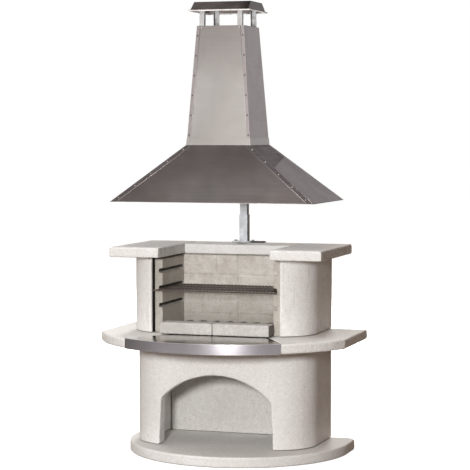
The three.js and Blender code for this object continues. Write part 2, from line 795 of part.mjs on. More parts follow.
function buildCap(stack) {
  const cap = addGroup(0, 0, stackHeight + capRimAbove, stack);
  const halfX = capWidth / 2;
  const halfY = capDepth / 2;
  const top = capLip + capBodyHeight;
  const under = capLip - sheet;
  const outer = joined(
    box(-halfX, halfX, -halfY, halfY, 0, capLip), lofted(capLip - weldDepth, top, capSection(0, 0)));
  const shell = cut(
    outer,
    box(sheet - halfX, halfX - sheet, sheet - halfY, halfY - sheet, -overrun, under),
    lofted(under - weldDepth, top - sheet, capSection(capThickX, capThickY)));
  place(cap, 'cap', shell, capSteel);

  const legFoot = -capRimAbove - legDepthInStack;
  const room = lofted(legFoot - overrun, top - sheet - gap, capSection(capThickX + gap, capThickY + 2 * gap));
  const stackFaceAt = (z) => stackShell.faceY(z + stackHeight + capRimAbove) - stackShell.thickY - gap;
  ends.forEach(([endWord, end]) => sides.forEach(([word, side]) => {
    const middle = side * (stackTopWidth / 2 - capBoltInset);
    const flangeX = end < 0 ? middle + legSize / 2 : middle - legSize / 2;
    const leg = lofted(legFoot, top, (z) => {
      const y = stackFaceAt(z);
      const webX = flangeX + end * legSheet;
      const farX = flangeX + end * legSize;
      return [
        [flangeX, end * (y - legSize)], [webX, end * (y - legSize)], [webX, end * (y - legSheet)],
        [farX, end * (y - legSheet)], [farX, end * y], [flangeX, end * y],
      ];
    });
    const hole = capBoltHole(side, end).translate(0, 0, -stackHeight - capRimAbove);
    place(cap, `cap_leg_${endWord}_${word}`, cut(common(leg, room), hole), zincSteel);
    const { seat, direction } = capBoltLine(side, end);
    place(stack, `cap_bolt_${endWord}_${word}`,
      bolt(seat, direction, capBoltShank, capBoltLength, capBoltHead, capBoltHeadHeight), boltSteel);
  }));
}

// Inner mast tube with the crossbar that carries the hood, in the hood's coordinates

function buildMastTube(hood) {
  const half = socketSize / 2 - tubeWall - gap;
  const mastY = backY - mastBack - hoodY;
  const foot = mastZ + socketHeight - hoodRimZ - tubeInsertion;
  const tube = squareTube(2 * half, tubeWall, foot, tubeTop).translate(mastShift - hoodShift, mastY, 0);
  const barBack = mastY - half + weldDepth;
  const barHalf = hoodWidth / 2;
  const upright = box(
    -barHalf, barHalf, barBack - crossbarSheet, barBack, crossbarRise, crossbarRise + crossbarSize);
  const level = box(
    -barHalf, barHalf, barBack - crossbarSize, barBack, crossbarRise, crossbarRise + crossbarSheet);
  const room = hoodShell.inside(foot - overrun, tubeTop + overrun, gap);
  place(hood, 'mast_tube', common(joined(tube, upright, level), room), zincSteel);
}

buildBaseSlab();
buildLowerWalls();
buildWorktop();
buildPillars();
buildFirebox();
buildCurb();
buildGrate();
buildTop();
buildSocket();
const hoodGroup = addGroup(hoodShift, hoodY, hoodRimZ);
const stackGroup = addGroup(0, 0, hoodHeight, hoodGroup);
buildMastTube(hoodGroup);
buildHood(hoodGroup);
buildStack(stackGroup);
buildCap(stackGroup);

export default root;
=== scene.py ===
import math

import bmesh
import bpy
import numpy as np
from mathutils import Euler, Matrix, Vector, noise
from mathutils.bvhtree import BVHTree


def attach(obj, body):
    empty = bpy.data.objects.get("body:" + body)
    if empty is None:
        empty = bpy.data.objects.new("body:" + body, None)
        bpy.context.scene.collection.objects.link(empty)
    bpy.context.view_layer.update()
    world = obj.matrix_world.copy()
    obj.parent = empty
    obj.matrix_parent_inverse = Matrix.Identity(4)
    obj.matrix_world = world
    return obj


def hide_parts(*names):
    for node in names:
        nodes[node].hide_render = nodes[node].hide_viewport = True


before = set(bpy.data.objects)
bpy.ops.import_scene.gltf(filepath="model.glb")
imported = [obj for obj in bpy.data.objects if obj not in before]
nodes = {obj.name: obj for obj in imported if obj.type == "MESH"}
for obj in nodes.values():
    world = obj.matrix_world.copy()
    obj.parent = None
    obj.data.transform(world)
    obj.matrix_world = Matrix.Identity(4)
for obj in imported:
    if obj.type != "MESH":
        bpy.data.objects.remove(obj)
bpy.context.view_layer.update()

# Camera: the photograph's viewing angle, at the distance its perspective gives

CAMERA_PLACE = (2.8417, -8.6549, 1.6817)
CAMERA_YAW = 17.764
CAMERA_TILT = 3.3653
CAMERA_LENS = 136.67

camera_data = bpy.data.cameras.new("camera")
camera_data.lens = CAMERA_LENS
camera_data.sensor_width = 36
camera_data.clip_end = 100
camera = bpy.data.objects.new("camera", camera_data)
camera.location = CAMERA_PLACE
camera.rotation_euler = Euler((math.radians(90 - CAMERA_TILT), 0, math.radians(CAMERA_YAW)))
bpy.context.collection.objects.link(camera)
bpy.context.scene.camera = camera
bpy.context.scene.view_settings.view_transform = "Standard"


# Material helpers

def clamp(value):
    """value, held between 0 and 1."""
    return min(max(value, 0.0), 1.0)


def srgb(r, g, b):
    """Linear colour from 0-255 display values."""
    def one(v):
        v /= 255
        return v / 12.92 if v <= 0.04045 else ((v + 0.055) / 1.055) ** 2.4
    return (one(r), one(g), one(b), 1)


class Tree:
    """Short calls for building one node tree."""

    def __init__(self, tree):
        self.tree = tree

    def add(self, kind, inputs=None, **settings):
        node = self.tree.nodes.new(kind)
        for key, value in settings.items():
            setattr(node, key, value)
        for key, value in (inputs or {}).items():
            self.put(node.inputs[key], value)
        return node

    def put(self, socket, value):
        if isinstance(value, bpy.types.NodeSocket):
            self.tree.links.new(value, socket)
        else:
            socket.default_value = value

    def place(self, scale=(1, 1, 1)):
        """The place in the object, in metres, times a scale along each axis."""
        coordinates = self.add("ShaderNodeTexCoord")
        mapping = self.add("ShaderNodeMapping", {
            "Vector": coordinates.outputs["Object"], "Scale": scale})
        return mapping.outputs["Vector"]

    def axis(self, name):
        """One coordinate of the place in the object."""
        split = self.add("ShaderNodeSeparateXYZ", {"Vector": self.place()})
        return split.outputs[name]

    def facing(self, name):
        """How far the surface is turned to one of the object's axes, -1 to 1."""
        coordinates = self.add("ShaderNodeTexCoord")
        split = self.add("ShaderNodeSeparateXYZ", {"Vector": coordinates.outputs["Normal"]})
        return split.outputs[name]

    def attribute(self, name):
        return self.add("ShaderNodeAttribute", attribute_name=name).outputs["Fac"]

    def noise(self, vector, scale, detail=3, roughness=0.5, distortion=0):
        node = self.add("ShaderNodeTexNoise", {
            "Vector": vector, "Scale": scale, "Detail": detail, "Roughness": roughness,
            "Distortion": distortion})
        return node.outputs["Fac"]

    def voronoi(self, vector, scale, output="Distance"):
        node = self.add("ShaderNodeTexVoronoi", {"Vector": vector, "Scale": scale})
        return node.outputs[output]

    def ramp(self, value, low, high, out_low=0.0, out_high=1.0, kind="LINEAR"):
        """value, mapped from low and high to out_low and out_high and held between them."""
        node = self.add("ShaderNodeMapRange", {
            "Value": value, "From Min": low, "From Max": high,
            "To Min": out_low, "To Max": out_high}, interpolation_type=kind)
        return node.outputs["Result"]

    def maths(self, operation, a, b=0.5):
        node = self.add("ShaderNodeMath", operation=operation)
        self.put(node.inputs[0], a)
        self.put(node.inputs[1], b)
        return node.outputs["Value"]

    def mix(self, factor, a, b, blend="MIX"):
        node = self.add("ShaderNodeMix", data_type="RGBA", blend_type=blend)
        self.put(node.inputs["Factor"], factor)
        self.put(node.inputs[6], a)
        self.put(node.inputs[7], b)
        return node.outputs[2]

    def mix_value(self, factor, a, b):
        node = self.add("ShaderNodeMix", {"Factor": factor, "A": a, "B": b}, data_type="FLOAT")
        return node.outputs["Result"]

    def bump(self, height, distance, strength=1.0, normal=None):
        node = self.add("ShaderNodeBump", {
            "Height": height, "Distance": distance, "Strength": strength})
        if normal is not None:
            self.put(node.inputs["Normal"], normal)
        return node.outputs["Normal"]


class Material(Tree):
    """A material whose Principled shader takes its inputs by name."""

    def __init__(self, name):
        self.material = bpy.data.materials.new(name)
        self.material.use_nodes = True
        super().__init__(self.material.node_tree)
        self.shader = self.tree.nodes["Principled BSDF"]

    def set(self, **inputs):
        for key, value in inputs.items():
            self.put(self.shader.inputs[key.replace("_", " ")], value)


SIDE_TURN = (0.6, 0.85)  # how far a face is turned to X where it begins to be a side, and is one
FOLD_TURN = (0.3, 0.5)  # the same for the hood's leaning sides
CURB_END_X = 0.2  # the painted shade on a curb's end is only on the curb's right end
GAP_X, GAP_Y, GAP_RIGHT = (-0.3722, -0.3712), (-0.031, -0.026), -0.36  # left pillar's inner face, where the gap's shade is painted
# the first colour darkens soot and painted shade at the blocks' feet and in the grate slots; the
# second is painted shade in the left pillar's gap
GRIME_AND_SHADE, GAP_SHADE = srgb(46, 39, 33), srgb(30, 25, 21)
CURB_END_SHADE, PIT_TONE = srgb(62, 56, 49), srgb(150, 141, 131)


def concrete_material(name, light, shade, grain, worn, contrast=1.0, gap=False, sides=0.0,
                      ends=0.0):
    """Cast concrete: a faintly clouded tone, sandy grain, small pits, paler worn edges.

    gap adds a pillar's upright scratches and painted shade in the gap between the left one and
    the firebox panel, sides the open pits of a slab's rough sides, and ends the painted shade on
    right-hand ends.
    """
    m = Material(name)
    at = m.place()
    cloud = m.noise(at, 4.5, 4, 0.6)
    mottle = m.noise(at, 38, 4, 0.65)
    sand = m.noise(at, 120, 5, 0.8)
    grit = m.voronoi(at, 300)
    pits = m.ramp(m.noise(at, 130, 3, 0.7), 0.64, 0.74)
    tone = m.mix(m.ramp(cloud, 0.38, 0.66, 0, 0.5 * contrast), light, shade)
    tone = m.mix(m.ramp(mottle, 0.42, 0.68, 0, 0.5 * contrast), tone, shade)
    tone = m.mix(m.ramp(sand, 0.4, 0.66, 0, 0.4 * contrast), tone, grain)
    tone = m.mix(m.maths("MULTIPLY", pits, 0.45 * contrast), tone, grain)
    height = m.maths("ADD", m.maths("MULTIPLY", sand, 0.6), m.maths("MULTIPLY", grit, 0.5))
    height = m.maths("SUBTRACT", height, m.maths("MULTIPLY", pits, 0.9))
    if sides:
        turned = m.ramp(m.maths("ABSOLUTE", m.facing("X")), *SIDE_TURN, 0, sides)
        holes = m.maths("MULTIPLY", turned, m.ramp(m.noise(at, 60, 5, 0.75), 0.47, 0.62))
        tone = m.mix(holes, tone, PIT_TONE)
        height = m.maths("SUBTRACT", height, m.maths("MULTIPLY", holes, 1.6))
    if ends:
        # painted shade on right-hand ends that face away from the light
        end_shaded = m.maths("MULTIPLY", m.ramp(m.facing("X"), *SIDE_TURN, 0, ends),
                        m.maths("GREATER_THAN", m.axis("X"), CURB_END_X))
        tone = m.mix(end_shaded, tone, CURB_END_SHADE)
    wear = m.attribute("wear")
    crumbs = m.ramp(m.noise(at, 75, 4, 0.7), 0.3, 0.7)
    tone = m.mix(m.maths("MULTIPLY", wear, m.ramp(crumbs, 0, 1, 0.15, 0.75)), tone, worn)
    height = m.maths("ADD", height, m.maths("MULTIPLY", m.maths("MULTIPLY", wear, crumbs), 1.1))
    # soot on the floor plates' ridges, painted contact shadow round the blocks' feet, and painted
    # shade in the grate slots
    grime_and_shade = m.maths("MULTIPLY", m.attribute("grime_and_shade"), m.ramp(mottle, 0.3, 0.6, 0.75, 1))
    tone = m.mix(grime_and_shade, tone, GRIME_AND_SHADE)
    if gap:
        scratch = m.ramp(m.noise(m.place((80, 80, 8)), 1, 4, 0.65), 0.55, 0.7, 0, 0.45)
        tone = m.mix(scratch, tone, grain)
        height = m.maths("SUBTRACT", height, m.maths("MULTIPLY", scratch, 1.2))
        # painted shade in the gap between the left pillar and the firebox panel
        inner = m.maths("MULTIPLY", m.ramp(m.axis("X"), *GAP_X), m.ramp(m.axis("Y"), *GAP_Y))
        beside = m.maths("LESS_THAN", m.axis("X"), GAP_RIGHT)
        tone = m.mix(m.maths("MULTIPLY", inner, beside), tone, GAP_SHADE)
    normal = m.bump(height, 0.0014, 0.75)
    normal = m.bump(mottle, 0.004, 0.3, normal)
    m.set(Base_Color=tone, Roughness=m.ramp(mottle, 0.3, 0.7, 0.88, 0.97), Normal=normal)
    m.shader.inputs["Specular IOR Level"].default_value = 0.25
    return m.material


def steel_material(name, light, dark, rough, streak_scale, tint=None, cloud_scale=3.0,
                   smudge=0.35, blue=None, marks=0.25, lean=0.0):
    """Brushed sheet: fine streaks along streak_scale's slow axes, soft clouds, light smudges.

    tint is a colour that grows between two heights; on the hood's sides it is a painted
    reflection.
    lean is for the hood's sides: those heights rise with Y by it, only the right side takes that
    painted reflection, and the strips that are folded over the front and the back are dark. blue
    is the colour of faint patches, smudge the strength of the dull ones, and marks that of the
    streaks.
    """
    m = Material(name)
    at = m.place()
    streak = m.noise(m.place(streak_scale), 1, 4, 0.65)
    fine = m.noise(m.place(tuple(3.1 * v for v in streak_scale)), 1, 2, 0.5)
    cloud = m.noise(at, cloud_scale, 3, 0.55, 0.4)
    patch = m.noise(at, 2.3 * cloud_scale, 4, 0.6, 0.8)
    tone = m.mix(m.ramp(cloud, 0.35, 0.68), light, dark)
    if tint:
        color, low, high = tint
        spread = 0.1 * (high - low)
        level = m.maths("SUBTRACT", m.axis("Z"), m.maths("MULTIPLY", m.axis("Y"), lean))
        uneven = m.maths("ADD", level, m.ramp(patch, 0, 1, -spread, spread))
        tinted = m.ramp(uneven, low, high, 0, 1, "SMOOTHSTEP")
        if lean:
            # only the right side takes the painted reflection
            tinted = m.maths("MULTIPLY", tinted, m.ramp(m.facing("X"), *FOLD_TURN))
        tone = m.mix(tinted, tone, color)
    if lean:
        fold = m.ramp(m.maths("ABSOLUTE", m.facing("X")), *FOLD_TURN, 0.8, 0)
        tone = m.mix(fold, tone, srgb(94, 86, 84))
    if blue:
        tone = m.mix(m.ramp(m.noise(at, 3.5, 2, 0.5), 0.45, 0.7, 0, 0.5), tone, blue)
    brushed = m.noise(m.place(tuple(0.22 * v for v in streak_scale)), 1, 4, 0.7)
    tone = m.mix(m.ramp(brushed, 0.35, 0.65, 0, 0.35), tone, dark)
    tone = m.mix(m.ramp(streak, 0.35, 0.7, 0, marks), tone, dark)
    tone = m.mix(m.ramp(fine, 0.55, 0.8, 0, marks), tone, light)
    dull = m.ramp(patch, 0.4, 0.7, 0, smudge * 0.3)
    roughness = m.maths("ADD", m.ramp(streak, 0.3, 0.7, rough - 0.06, rough + 0.06), dull)
    normal = m.bump(streak, 0.0004, 0.35)
    normal = m.bump(cloud, 0.02, 0.12, normal)
    m.set(Base_Color=tone, Metallic=1.0, Roughness=roughness, Normal=normal)
    return m.material


PLATE_TOP = 1.091  # the mast's foot plate
PLATE_EDGE = 0.02
PLATE_SHADE_X = (0.02, 0.035)
RIGHT_SHADE_TURN = (0.3, 0.6)


def zinc_material(name, light, dark, rough, metallic, scale=42, side=0.0, behind=-1.0):
    """Galvanised steel: angular zinc spangles in close greys, with dull grey bloom.

    side is how dark the painted shade is on right-hand faces that lie behind the given Y.
    The mast's foot plate has painted shade, most on its right.
    """
    m = Material(name)
    at = m.place()
    spangle = m.voronoi(at, scale, "Color")
    bloom = m.noise(at, 9, 4, 0.6)
    scratch = m.noise(m.place((260, 260, 14)), 1, 3, 0.6)
    tone = m.mix(m.ramp(spangle, 0.2, 0.9, 0, 0.75), light, dark)
    tone = m.mix(m.ramp(bloom, 0.42, 0.7, 0, 0.55), tone, dark)
    # painted shade on the mast's foot plate, most on its right
    low = m.maths("MULTIPLY", m.ramp(m.axis("Z"), PLATE_TOP + 0.002, PLATE_TOP),
                  m.ramp(m.axis("Z"), PLATE_TOP - PLATE_EDGE, PLATE_TOP - 0.018))
    shade = m.maths("MULTIPLY", low, m.ramp(m.axis("X"), *PLATE_SHADE_X, 0.15, 0.95))
    tone = m.mix(shade, tone, srgb(44, 41, 39))
    if side:
        # painted shade on faces turned to the right
        right_shade = m.maths("MULTIPLY", m.ramp(m.facing("X"), *RIGHT_SHADE_TURN, 0, side),
                          m.maths("GREATER_THAN", m.axis("Y"), behind))
        tone = m.mix(right_shade, tone, srgb(46, 42, 38))
    roughness = m.ramp(spangle, 0.1, 0.9, rough - 0.07, rough + 0.1)
    normal = m.bump(scratch, 0.0003, 0.4)
    normal = m.bump(bloom, 0.004, 0.15, normal)
    m.set(Base_Color=tone, Metallic=metallic, Roughness=roughness, Normal=normal)
    if metallic < 0.5:
        m.shader.inputs["Specular IOR Level"].default_value = 0.3
    return m.material


# Cast concrete: each block copied from its solids, remeshed, its arrises rounded and chipped

def solid_copy(name, sources):
    """One object with the union of the named nodes' solids."""
    pieces = []
    for source in sources:
        mesh = nodes[source].data.copy()
        mesh.materials.clear()
        item = bpy.data.objects.new(name, mesh)
        bpy.context.collection.objects.link(item)
        pieces.append(item)
    body = pieces[0]
    for other in pieces[1:]:
        modifier = body.modifiers.new("join", "BOOLEAN")
        modifier.operation = "UNION"
        modifier.solver = "EXACT"
        modifier.object = other
    settle(body)
    for other in pieces[1:]:
        bpy.data.objects.remove(other, do_unlink=True)
    return body


def settle(item):
    """Apply an object's modifiers to its mesh."""
    if not item.modifiers:
        return
    view = bpy.context.evaluated_depsgraph_get()
    view.update()
    mesh = bpy.data.meshes.new_from_object(item.evaluated_get(view))
    item.modifiers.clear()
    item.data = mesh


def read_points(mesh):
    points = np.empty(3 * len(mesh.vertices))
    mesh.vertices.foreach_get("co", points)
    return points.reshape(-1, 3)


def read_normals(mesh):
    normals = np.empty(3 * len(mesh.vertices))
    mesh.vertices.foreach_get("normal", normals)
    return normals.reshape(-1, 3)


def round_top(mesh, width, joint):
    """Bevel the upper outer arrises, except those for which joint is true."""
    bm = bmesh.new()
    bm.from_mesh(mesh)
    bmesh.ops.dissolve_limit(
        bm, angle_limit=math.radians(0.6), verts=bm.verts[:], edges=bm.edges[:])
    bm.normal_update()
    upper = []
    for edge in bm.edges:
        if len(edge.link_faces) != 2 or not edge.is_convex:
            continue
        rises = sorted(face.normal.z for face in edge.link_faces)
        middle = (edge.verts[0].co + edge.verts[1].co) / 2
        if rises[1] > 0.9 and abs(rises[0]) < 0.3 and not (joint and joint(middle)):
            upper.append(edge)
    bmesh.ops.bevel(bm, geom=upper, offset=width, segments=3, profile=0.5, affect="EDGES",
                    clamp_overlap=True)
    bm.to_mesh(mesh)
    bm.free()


FIREBOX_X = -0.025
PANEL_INNER, PANEL_OUTER = 0.298, 0.32  # a side panel's faces, from the firebox's middle
KEEP_SHARE = 0.5  # share of a block's faces that stay


def weather(mesh, solid, chips=0.0018, wave=0.0011, seed=0.0, foot=0.0, dirt=None, ragged=0.0,
            relief=None):
    """The places of a block's points once its face is worn, with its wear, soot and painted shade
    written down.

    solid is the sharp block, chips the depth of the broken arrises, wave that of the uneven
    faces, seed the block's own part of the noise, foot the height of the painted contact shadow
    round its foot, dirt gives the soot and the painted shade at other places, ragged is the
    depth of the pits in a slab's sides, and relief gives the depth of a cast pattern at a place.
    """
    points = read_points(mesh)
    normals = read_normals(mesh)
    low = points[:, 2].min()
    wear = np.zeros(len(points))
    grime_and_shade = np.zeros(len(points))
    for index, point in enumerate(points):
        place = Vector(point)
        at = place + Vector((seed, 0, 0))
        lost = solid.find_nearest(place)[3]
        worn = clamp((lost - 0.0005) / 0.0018)
        depth = wave * (0.6 + 0.6 * noise.noise(at * 17)) + 0.4 * wave * (1 + noise.noise(at * 70))
        if worn > 0.02:
            chip = max(0.0, noise.noise(at * 34) + 0.6 * noise.noise(at * 83) - 0.05)
            depth += chips * worn * (0.35 + 1.6 * chip)
        if ragged and abs(normals[index][0]) > SIDE_TURN[0]:
            depth += ragged * max(0.0, noise.noise(at * 40) + 0.6 * noise.noise(at * 95))
        if relief:
            depth += relief(place)
        points[index] -= normals[index] * depth
        wear[index] = worn
        # painted contact shadow round the block's foot
        if foot:
            grime_and_shade[index] = clamp(1.25 - (point[2] - low) / foot)
        if dirt:
            grime_and_shade[index] = max(grime_and_shade[index], dirt(place))
    for label, values in (("wear", wear), ("grime_and_shade", grime_and_shade)):
        mesh.attributes.new(label, "FLOAT", "POINT").data.foreach_set("value", values)
    return points


def cast_block(name, sources, body, slot, material, voxel, top=0.0, rounds=3, joint=None,
               spread=0.0, lift=0.0, **wearing):
    """A worn concrete block that stands for the named nodes.

    top is the rounding of its upper arrises, joint tells those that meet another block, spread
    is how far a side panel's outer face lies nearer to its pillar, lift is the height of the
    mortar on top, and wearing is for weather.
    """
    item = solid_copy(name, sources)
    solid = BVHTree.FromObject(item, bpy.context.evaluated_depsgraph_get())
    if top:
        round_top(item.data, top, joint)
    remesh = item.modifiers.new("voxels", "REMESH")
    remesh.mode = "VOXEL"
    remesh.voxel_size = voxel
    smooth = item.modifiers.new("round", "SMOOTH")
    smooth.factor = 0.5
    smooth.iterations = rounds
    settle(item)
    mesh = item.data
    points = weather(mesh, solid, **wearing)
    if spread:
        aside = points[:, 0] - FIREBOX_X
        outer = np.clip((np.abs(aside) - PANEL_OUTER) / 0.012, 0, 1)
        points[:, 0] += np.sign(aside) * outer * spread
    if lift:
        points[:, 2] += lift * np.clip((points[:, 2] - points[:, 2].max() + 0.012) / 0.01, 0, 1)
    mesh.vertices.foreach_set("co", points.ravel())
    mesh.update()
    slim = item.modifiers.new("slim", "DECIMATE")
    slim.ratio = KEEP_SHARE
    settle(item)
    mesh = item.data
    mesh.shade_smooth()
    mesh.materials.clear()
    mesh.materials.append(material)
    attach(item, body)
    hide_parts(*sources)


# Light, shade, grain and worn tone
PALE = (srgb(240, 239, 238), srgb(225, 223, 220), srgb(186, 178, 171), srgb(244, 243, 241))
# a greyer copy of the pale concrete for the two back walls, which stand in shade: painted shade
SHADE_GREY = (srgb(226, 224, 220), srgb(208, 204, 199), srgb(164, 155, 146), srgb(232, 230, 226))
concrete = concrete_material("concrete", *PALE)
pillar_concrete = concrete_material("pillar_concrete", *PALE, gap=True)
shaded_wall_concrete = concrete_material("shaded_wall_concrete", *SHADE_GREY)
top_concrete = concrete_material(
    "top_concrete", srgb(231, 230, 229), srgb(216, 214, 211), srgb(180, 172, 165),
    srgb(236, 235, 233), sides=0.45)
# the curb concrete carries painted shade on the right curb's end
curb_concrete = concrete_material(
    "curb_concrete", srgb(212, 210, 206), srgb(180, 176, 171), srgb(150, 145, 139),
    srgb(226, 224, 220), 1.3, ends=0.72)
slab_concrete = concrete_material("slab_concrete", *PALE, sides=0.3)

WALL_VOXEL = 0.0065
SLAB_VOXEL = 0.005
JOINT_NEAR = 0.012  # an arris nearer to a joint than this stays sharp
SEAM_FRONT, SEAM_BACK = 0.408, 0.224  # half the distance between the worktop's joints
WALL_FRONT, WORKTOP_FRONT = -0.057, -0.453
TOP_SEAMS, TOP_SEAM_FRONT = (-0.285, 0.301), 0.216


def worktop_joint(place):
    """True beside the two joints between the worktop's slabs."""
    share = clamp((WALL_FRONT - place.y) / (WALL_FRONT - WORKTOP_FRONT))
    inner = SEAM_BACK + (SEAM_FRONT - SEAM_BACK) * share
    return abs(abs(place.x) - inner) < JOINT_NEAR


def top_joint(place):
    """True beside the two joints between the top's slabs."""
    return place.y > TOP_SEAM_FRONT and min(abs(place.x - x) for x in TOP_SEAMS) < JOINT_NEAR


SLOT_FLOORS = (0.766, 0.855, 0.944)
SLOT_MIDDLE, SLOT_REACH = 0.012, 0.03  # height over a floor, and how far the painted shade goes


def slot_shade(place):
    """Painted shade on the back and the ceiling of the grate slots, less on the worn lower lip."""
    deep = abs(place.x - FIREBOX_X) - PANEL_INNER
    rise = min(abs(place.z - floor - SLOT_MIDDLE) for floor in SLOT_FLOORS)
    if place.y < 0.001 or deep > SLOT_REACH or rise >= SLOT_REACH:
        return 0.0
    below = max(floor for floor in SLOT_FLOORS + (0,) if floor - SLOT_MIDDLE < place.z)
    lip = clamp((place.z - below) / 0.006 - 0.3)
    return lip * clamp((deep - 0.0015) / 0.004)


SOOT_FRONT, RIDGE_FOOT = 0.17, 0.656
PANEL_TOP = 1.0  # a point above this is at the top of a side panel


def floor_soot(place):
    """Soot on the floor plates' ridges, towards the firebox's back."""
    back = clamp((place.y - SOOT_FRONT) / 0.1)
    return 0.62 * back * clamp((place.z - RIDGE_FOOT) / 0.004)


def panel_top(place):
    """True at the top of a side panel, which bears the top's slabs."""
    return place.z > PANEL_TOP


cast_block("foot_slab_cast", ["base_slab"], "masonry", "concrete", concrete,
           SLAB_VOXEL, 0.008, seed=1.0)
cast_block("lower_wall_cast", ["base_side_left", "base_arch", "base_side_right"],
           "masonry", "concrete", concrete, WALL_VOXEL, seed=2.0, foot=0.004)
cast_block("lower_back_cast", ["base_back_wall"], "masonry", "concrete", shaded_wall_concrete,
           WALL_VOXEL, seed=3.0)
for side, shift in (("left", 4.0), ("centre", 5.0), ("right", 6.0)):
    cast_block(f"worktop_{side}_cast", [f"worktop_{side}"], "masonry", "concrete",
               slab_concrete, SLAB_VOXEL, 0.011, rounds=2, chips=0.005, seed=shift,
               joint=worktop_joint, ragged=0.0012)
for side, shift in (("left", 7.0), ("right", 8.0)):
    cast_block(f"pillar_{side}_cast", [f"pillar_{side}"], "masonry", "concrete",
               pillar_concrete, WALL_VOXEL, rounds=2, chips=0.0014, seed=shift, foot=0.004)
cast_block("rear_wall_cast", ["rear_wall"], "masonry", "concrete", shaded_wall_concrete,
           WALL_VOXEL, seed=9.0)
# the back slab takes the paler slab concrete: painted light where the hood shades it
for side, shift in (("left", 10.0), ("right", 11.0), ("back", 12.0)):
    cast_block(f"top_slab_{side}_cast", [f"top_slab_{side}"], "masonry", "concrete",
               slab_concrete if side == "back" else top_concrete, SLAB_VOXEL, 0.015, rounds=2,
               chips=0.0055, seed=shift, joint=top_joint, ragged=0.0032)
for side, shift in (("left", 13.0), ("right", 14.0)):
    cast_block(f"curb_{side}_cast", [f"curb_{side}"], f"curb_{side}", "curb_concrete",
               curb_concrete, 0.0036, rounds=3, chips=0.0012, wave=0.0005, seed=shift, foot=0.005)


BRICK_FACE = 0.3355
BRICK_DEEP = 0.004  # a point farther behind the face has no relief
BRICK_LEVELS = (0.7085, 0.812, 0.915)
# X and the two heights of each upright joint besides the middle one
BRICK_UPRIGHTS = ((-0.1435, 0.915, 1.03), (-0.221, 0.7085, 0.812))
JOINT_HALF, JOINT_DEPTH = 0.0055, 0.0021
SHADED_FOOT = (0.655, 0.82)  # heights between which the painted shade over the floor fades
BACK_PANELS = [f"back_panel_{row}_{side}" for row in ("upper", "lower")
               for side in ("left", "right")]


def brick_relief(place):
    """Depth of the worn joints and of the uneven brick faces of the firebox's back."""
    if place.y > BRICK_FACE + BRICK_DEEP:
        return 0.0
    warp = 0.0028 * noise.noise(place * 28) + 0.0012 * noise.noise(place * 90)
    x, z = place.x + warp, place.z + warp
    away = min([abs(z - level) for level in BRICK_LEVELS] + [abs(x - FIREBOX_X)]
               + [abs(x - upright) for upright, low, high in BRICK_UPRIGHTS if low < z < high])
    groove = max(0.0, 1 - away / JOINT_HALF)
    fresh = 0.75 + 0.5 * noise.noise(place * 15)
    return JOINT_DEPTH * fresh * groove * (2 - groove) + 0.0007 * (1 + noise.noise(place * 12))


def brick_joints(m, half):
    """1 along the joints between the bricks, fading to 0 at half a joint's width."""
    warp = m.ramp(m.noise(m.place(), 30, 3), 0.2, 0.8, -0.003, 0.003)
    x = m.maths("ADD", m.axis("X"), warp)
    z = m.maths("ADD", m.axis("Z"), warp)

    def near(place, centre):
        away = m.maths("ABSOLUTE", m.maths("SUBTRACT", place, centre))
        return m.ramp(away, 0.25 * half, half, 1, 0)

    found = near(x, FIREBOX_X)
    for level in BRICK_LEVELS:
        found = m.maths("MAXIMUM", found, near(z, level))
    for upright, low, high in BRICK_UPRIGHTS:
        row = m.maths("MULTIPLY", m.maths("GREATER_THAN", z, low),
                      m.maths("LESS_THAN", z, high))
        found = m.maths("MAXIMUM", found, m.maths("MULTIPLY", near(x, upright), row))
    return found


def brick_material():
    """Fireclay panels: a scrubbed, soot-mottled face with darker joints between the bricks, and
    painted shade towards the floor.
    """
    m = Material("fireclay")
    at = m.place()
    cloud = m.noise(at, 9, 4, 0.6)
    stain = m.noise(at, 22, 5, 0.7, 0.6)
    sand = m.noise(at, 150, 4, 0.75)
    streak = m.noise(m.place((14, 14, 90)), 1, 3, 0.6)
    tone = m.mix(m.ramp(cloud, 0.38, 0.64, 0, 0.7), srgb(222, 218, 211), srgb(198, 192, 183))
    tone = m.mix(m.ramp(stain, 0.5, 0.72, 0, 0.55), tone, srgb(176, 168, 158))
    tone = m.mix(m.ramp(streak, 0.5, 0.75, 0, 0.35), tone, srgb(184, 177, 167))
    tone = m.mix(m.ramp(sand, 0.48, 0.7, 0, 0.45), tone, srgb(150, 142, 132))
    lime = m.ramp(m.noise(m.place((16, 16, 24)), 1, 4, 0.6), 0.52, 0.66, 0, 0.7)
    tone = m.mix(m.maths("MULTIPLY", brick_joints(m, 0.016), lime), tone, srgb(232, 229, 223))
    smear = m.maths("MULTIPLY", m.ramp(stain, 0.3, 0.65, 0.15, 0.75), 0.55)
    tone = m.mix(m.maths("MULTIPLY", brick_joints(m, 0.006), smear), tone, srgb(158, 150, 140))
    # painted shade towards the floor, under the grate and behind the curb
    foot = m.ramp(m.axis("Z"), *SHADED_FOOT, 0.55, 0)
    tone = m.mix(foot, tone, srgb(120, 112, 102))
    normal = m.bump(m.maths("ADD", sand, m.maths("MULTIPLY", streak, 0.6)), 0.0016, 0.7)
    normal = m.bump(stain, 0.004, 0.3, normal)
    m.set(Base_Color=tone, Roughness=m.ramp(stain, 0.3, 0.7, 0.86, 0.97), Normal=normal)
    m.shader.inputs["Specular IOR Level"].default_value = 0.25
    return m.material


